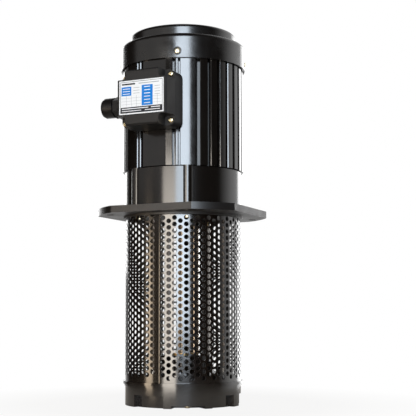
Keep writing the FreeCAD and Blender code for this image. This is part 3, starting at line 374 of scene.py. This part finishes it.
def head_finish():
    """Black cast iron: rough where it is cast, smooth on the turned drum and the flange's round corners."""
    nodes = Finish("black_casting")
    x, y, z = nodes.axes()
    drum = nodes.math("GREATER_THAN", z, DRUM_HEIGHT)
    corner = nodes.math("GREATER_THAN", nodes.radius(x, y), CORNER_RADIUS)
    smooth = nodes.any_of(drum, corner)
    grain = nodes.noise(700.0, 4.0, 0.65)
    patches = nodes.noise(45.0, 4.0)
    cast_roughness = nodes.span(patches, *NOISE_RANGE, 0.40, 0.55)
    turned_roughness = nodes.between(drum, 0.36, 0.18)
    roughness = nodes.between(smooth, cast_roughness, turned_roughness)
    cast = nodes.mix(nodes.span(grain, 0.35, 0.7), (0.006, 0.0048, 0.0039), (0.024, 0.018, 0.014))
    turned = nodes.mix(patches, (0.0048, 0.0038, 0.0031), (0.0095, 0.0072, 0.0058))
    shade = nodes.mix(smooth, cast, turned)
    depth = nodes.math("MULTIPLY", grain, nodes.between(smooth, 1.05, 0.05))
    return nodes.surface(shade, roughness, 0.0, nodes.bump(depth, 0.12 * MM), 1.75)


def label_finish(low, high):
    """A white printed plate with blue panels, ruled lines and a dark footer.

    Its layout is in shares of the plate's width, and of its height from the top."""
    nodes = Finish("label_print")
    x, _, z = nodes.axes()
    across = nodes.span(x, low.x, high.x)
    down = nodes.span(z, high.z, low.z)

    def inside(left, right, top, bottom):
        return nodes.all_of(nodes.math("GREATER_THAN", across, left),
                            nodes.math("LESS_THAN", across, right),
                            nodes.math("GREATER_THAN", down, top),
                            nodes.math("LESS_THAN", down, bottom))

    white = (0.86, 0.865, 0.87)
    blue = (0.001, 0.20, 0.64)
    dark = (0.02, 0.02, 0.025)
    grey = (0.42, 0.43, 0.45)
    rule_width, rule_height, bar_height = 0.006, 0.007, 0.015

    small_panel = inside(0.05, 0.275, 0.185, 0.45)
    tall_panel = inside(0.51, 0.758, 0.17, 0.77)
    bars = [inside(0.08, 0.245, 0.235 + 0.075 * k, 0.255 + 0.075 * k) for k in range(3)]
    bars += [inside(0.565, 0.70, 0.215 + 0.095 * k, 0.24 + 0.095 * k) for k in range(6)]
    panels = nodes.without(nodes.any_of(small_panel, tall_panel), *bars)

    rules = [inside(0.05, 0.95, v, v + rule_height) for v in (0.52, 0.61, 0.70)]
    rules += [inside(u, u + rule_width, 0.45, 0.77) for u in (0.16, 0.275, 0.39, 0.86)]
    rules += [inside(0.32, 0.46, v, v + bar_height) for v in (0.22, 0.30, 0.38)]
    rules += [inside(0.8, 0.92, v, v + bar_height) for v in (0.22, 0.30, 0.38, 0.46)]
    rules.append(inside(0.44, 0.9, 0.095, 0.12))

    edge = nodes.without(inside(0.025, 0.975, 0.035, 0.965), inside(0.033, 0.967, 0.047, 0.953))
    heading = inside(0.06, 0.36, 0.085, 0.13)
    footer_bars = [inside(0.06, 0.66, 0.825, 0.85), inside(0.72, 0.92, 0.825, 0.85),
                   inside(0.06, 0.5, 0.895, 0.915), inside(0.58, 0.92, 0.895, 0.915)]
    footer = nodes.without(inside(0.03, 0.97, 0.79, 0.955), *footer_bars)

    shade = nodes.mix(nodes.any_of(*rules), white, grey)
    shade = nodes.mix(panels, shade, blue)
    shade = nodes.mix(nodes.any_of(footer, edge, heading), shade, dark)
    roughness = nodes.span(nodes.noise(300.0), *NOISE_RANGE, 0.3, 0.42)
    return nodes.surface(shade, roughness, 0.25, nodes.bump(nodes.noise(900.0), 0.01 * MM))


def finishes():
    """Each slot's material."""
    made = {"black_casting": head_finish(), "pipe_steel": pipe_finish(), "strainer_sheet": sheet_finish()}
    for finish, slots in ((steel, STEELS), (plastic, PLASTICS), (painted, PAINTS)):
        for name, values in slots.items():
            made[name] = finish(name, *values)
    made["label"] = label_finish(*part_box("label_plate"))
    return made


def cell_rim(angle, height, column):
    """The hexagon round one hole, with its sides in equal parts, as (angle, height) points."""
    third = COLUMN_PITCH / 3
    half = ROW_PITCH / 2
    corners = [(2 * third, 0), (third, half), (-third, half),
               (-2 * third, 0), (-third, -half), (third, -half)]
    parts = HOLE_SIDES // len(corners)
    rim = []
    for k, (a0, h0) in enumerate(corners):
        a1, h1 = corners[(k + 1) % len(corners)]
        for step in range(parts):
            share = step / parts
            across, up = a0 + (a1 - a0) * share, h0 + (h1 - h0) * share
            climb = ROW_CLIMB * (column + across / COLUMN_PITCH)
            rim.append((angle + across, height + up + climb))
    return rim


def cell_hole(angle, height, rim):
    """The round hole in a cell, with one point towards each of the rim's."""
    hole = []
    for a, h in rim:
        turn = math.atan2(h - height, math.radians(a - angle) * SHEET_RADIUS)
        hole.append((angle + math.degrees(HOLE_RADIUS * math.cos(turn) / SHEET_RADIUS),
                     height + HOLE_RADIUS * math.sin(turn)))
    return hole


def sheet_cells():
    """The cells of the sheet, each as its rim and its hole.

    Every other column starts half a pitch lower, and the rows climb a little from column to column."""
    cells = []
    for column in range(COLUMNS):
        angle = FIRST_COLUMN + column * COLUMN_PITCH
        top = FIRST_ROW - ROW_PITCH / 2 * (column % 2)
        for row in range(ROWS):
            height = top - row * ROW_PITCH
            rim = cell_rim(angle, height, column)
            cells.append((rim, cell_hole(angle, height + ROW_CLIMB * column, rim)))
    return cells


def rounded(point):
    """A point of the sheet as a key, the same for all that stand for one vertex."""
    return tuple(round(value, digits) for value, digits in zip(point, KEY_DIGITS))


def open_sides(cells):
    """The sides of the cells that no other cell shares, as (start, end) points."""
    sides = {}
    for rim, _ in cells:
        for k, start in enumerate(rim):
            end = rim[(k + 1) % len(rim)]
            key = frozenset((rounded(start), rounded(end)))
            sides.setdefault(key, []).append((start, end))
    return [found[0] for found in sides.values() if len(found) == 1]


def border_bands(cells):
    """Plain strips from the outermost cells to the sheet's straight edges."""
    reach = COLUMN_PITCH / 3
    left, right = FIRST_COLUMN - reach, LAST_COLUMN + reach
    bands = []
    corners = {SHEET_TOP: {}, SHEET_BOTTOM: {}}
    for start, end in open_sides(cells):
        (a0, h0), (a1, h1) = start, end
        if max(a0, a1) <= left + SLACK:
            bands.append([end, start, (SEAM_START, h0), (SEAM_START, h1)])
        elif min(a0, a1) >= right - SLACK:
            bands.append([end, start, (SEAM_END, h0), (SEAM_END, h1)])
        else:
            edge = SHEET_TOP if min(h0, h1) > FIRST_ROW - ROW_PITCH else SHEET_BOTTOM
            bands.append([end, start, (a0, edge), (a1, edge)])
            for angle, height in (start, end):
                corners[edge][rounded((angle, 0.0))[0]] = (angle, height)
    for edge, ends in corners.items():
        for line, (angle, height) in ((SEAM_START, ends[min(ends)]), (SEAM_END, ends[max(ends)])):
            bands.append([(line, edge), (line, height), (angle, height), (angle, edge)])
    return bands


class Sheet:
    """The mesh of a rolled sheet with an outer and an inner skin, made from (angle, height) points."""

    def __init__(self):
        self.mesh = bmesh.new()
        self.skins = {SHEET_RADIUS: {}, SHEET_RADIUS - SHEET_WALL: {}}

    def vertex(self, point, radius):
        skin = self.skins[radius]
        key = rounded(point)
        if key not in skin:
            skin[key] = self.mesh.verts.new(angle_point(radius, *point))
        return skin[key]

    def on_skins(self, points):
        """The points' vertices on the outer skin, and those on the inner one."""
        return [[self.vertex(point, radius) for point in points] for radius in self.skins]

    def face(self, vertices):
        """A face, unless fewer than three of its vertices differ."""
        kept = list(dict.fromkeys(vertices))
        if len(kept) > 2:
            self.mesh.faces.new(kept)

    def cell(self, rim, hole):
        """The skins between a rim and its hole, and the hole's wall."""
        rim_out, rim_in = self.on_skins(rim)
        hole_out, hole_in = self.on_skins(hole)
        for k in range(len(rim)):
            n = (k + 1) % len(rim)
            self.face([rim_out[k], rim_out[n], hole_out[n], hole_out[k]])
            self.face([rim_in[n], rim_in[k], hole_in[k], hole_in[n]])
            self.face([hole_out[k], hole_out[n], hole_in[n], hole_in[k]])

    def band(self, points):
        """The skins of a plain strip, and its wall where it reaches the sheet's top or bottom."""
        for skin in self.on_skins(points):
            self.face(skin)
        for edge in (SHEET_TOP, SHEET_BOTTOM):
            on_edge = [point for point in points if point[1] == edge]
            if len(on_edge) == 2:
                out, back = self.on_skins(on_edge)
                self.face(out + back[::-1])

    def seam(self):
        """The groove where the sheet's ends meet, which is deepest at the second of them."""
        ends = []
        for line in (SEAM_START, SEAM_END):
            heights = sorted({key[1] for key in self.skins[SHEET_RADIUS] if abs(key[0] - line) < SLACK})
            ends.append(self.on_skins([(line, height) for height in heights]))
        (first_out, first_in), (last_out, last_in) = ends
        groove = [self.mesh.verts.new(angle_point(SHEET_RADIUS - SEAM_DEPTH, SEAM_END, height))
                  for height in (SHEET_BOTTOM, SHEET_TOP)]
        self.face(first_out + groove[::-1])
        self.face(last_out + groove[::-1])
        self.face(first_in + last_in[::-1])
        for end in (0, -1):
            self.face([first_out[end], groove[end], last_out[end], last_in[end], first_in[end]])


def strainer_sheet():
    """The rolled, perforated sheet, with a groove where its ends meet."""
    sheet = Sheet()
    cells = sheet_cells()
    for rim, hole in cells:
        sheet.cell(rim, hole)
    for points in border_bands(cells):
        sheet.band(points)
    sheet.seam()
    bmesh.ops.recalc_face_normals(sheet.mesh, faces=sheet.mesh.faces)
    made = placed("strainer_sheet", mesh_data("strainer_sheet", sheet.mesh))
    made.data.polygons.foreach_set("use_smooth", [True] * len(made.data.polygons))
    made.data.set_sharp_from_angle(angle=math.radians(SHARP_ANGLE))
    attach(made, "pump_body")
    return made


def mesh_data(name, mesh):
    data = bpy.data.meshes.new(name)
    mesh.to_mesh(data)
    mesh.free()
    return data


def placed(name, data, location=(0, 0, 0), tilt=0.0, turn=0.0):
    """A new object of the scene, tilted about X and then turned about Z, in degrees."""
    made = bpy.data.objects.new(name, data)
    made.location = location
    made.rotation_euler = (math.radians(tilt), 0, math.radians(turn))
    bpy.context.scene.collection.objects.link(made)
    return made


def dress(piece, material):
    piece.data.materials.clear()
    piece.data.materials.append(material)


def camera():
    data = bpy.data.cameras.new("camera")
    data.lens = CAMERA_LENS
    data.sensor_width = CAMERA_SENSOR
    data.shift_x, data.shift_y = CAMERA_SHIFT
    stand = angle_point(CAMERA_DISTANCE, CAMERA_AZIMUTH, CAMERA_HEIGHT)
    bpy.context.scene.camera = placed("camera", data, stand, 90 + CAMERA_TILT, CAMERA_AZIMUTH)


def panel(name, angle, spread, low, high, brightness, colour):
    """A soft box that faces the pump's axis, which the camera itself doesn't see."""
    data = bpy.data.lights.new(name, "AREA")
    data.shape = "RECTANGLE"
    data.size = 2 * PANEL_DISTANCE * math.tan(math.radians(spread / 2))
    data.size_y = high - low
    data.energy = brightness * math.pi * data.size * data.size_y
    data.color = colour
    stand = angle_point(PANEL_DISTANCE, CAMERA_AZIMUTH + angle, (low + high) / 2)
    made = placed(name, data, stand, 90, CAMERA_AZIMUTH + angle)
    made.visible_camera = False


def world():
    """A white background for the camera, a dim room for dull surfaces, and a white wall for gloss."""
    made = bpy.data.worlds.new("studio")
    made.use_nodes = True
    bpy.context.scene.world = made
    nodes = Nodes(made.node_tree)
    towards = nodes.node("ShaderNodeVectorMath", operation="DOT_PRODUCT")
    nodes.link(nodes.node("ShaderNodeTexCoord").outputs["Generated"], towards.inputs[0])
    towards.inputs[1].default_value = angle_point(1.0, CAMERA_AZIMUTH + WALL_ANGLE)
    edge, full = (math.cos(math.radians(angle)) for angle in (WALL_EDGE, WALL_FULL))
    wall = nodes.span(towards.outputs["Value"], edge, full)
    rays = nodes.node("ShaderNodeLightPath").outputs
    glossy = nodes.math("MULTIPLY", rays["Is Glossy Ray"], wall)
    diffuse = nodes.math("MULTIPLY", rays["Is Diffuse Ray"], DIFFUSE_LEVEL)
    back = nodes.tree.nodes["Background"]
    nodes.tint(back.inputs["Color"], WHITE)
    nodes.link(nodes.any_of(rays["Is Camera Ray"], glossy, diffuse), back.inputs["Strength"])


def floor_finish():
    """Plain matt paint, which the camera sees mixed with more and more white towards the rim."""
    nodes = Finish("floor")
    nodes.tint(nodes.shader.inputs["Base Color"], FLOOR_COLOUR)
    nodes.shader.inputs["Roughness"].default_value = FLOOR_ROUGHNESS
    x, y, _ = nodes.axes()
    rim = nodes.span(nodes.radius(x, y), FLOOR_NEAR, FLOOR_FAR, FLOOR_LIFT, 1.0)
    blend = nodes.node("ShaderNodeMixShader")
    rays = nodes.node("ShaderNodeLightPath").outputs
    nodes.link(nodes.all_of(rays["Is Camera Ray"], rim), blend.inputs["Fac"])
    nodes.link(nodes.shader.outputs[0], blend.inputs[1])
    nodes.link(nodes.node("ShaderNodeEmission").outputs[0], blend.inputs[2])
    nodes.link(blend.outputs[0], nodes.tree.nodes["Material Output"].inputs["Surface"])
    return nodes.material


def floor():
    """A pale round floor, lit by the lamps near the pump and as white as the background at its rim."""
    mesh = bmesh.new()
    bmesh.ops.create_circle(mesh, cap_ends=True, segments=FLOOR_SIDES, radius=FLOOR_RADIUS)
    made = placed("floor", mesh_data("floor", mesh), (0, 0, cad_box[0].z - FLOOR_GAP))
    dress(made, floor_finish())


def build():
    camera()
    made = finishes()
    slots = {part["node"]: part["material_slot"] for part in frame["record"]["subparts"]}
    for node, piece in frame["nodes"].items():
        dress(piece, made[slots[node]])
    sheet = strainer_sheet()
    dress(sheet, made["strainer_sheet"])
    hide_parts("strainer_tube")
    floor()
    world()
    for soft_box in PANELS:
        panel(*soft_box)
    bpy.context.scene.view_settings.view_transform = "Standard"


build()
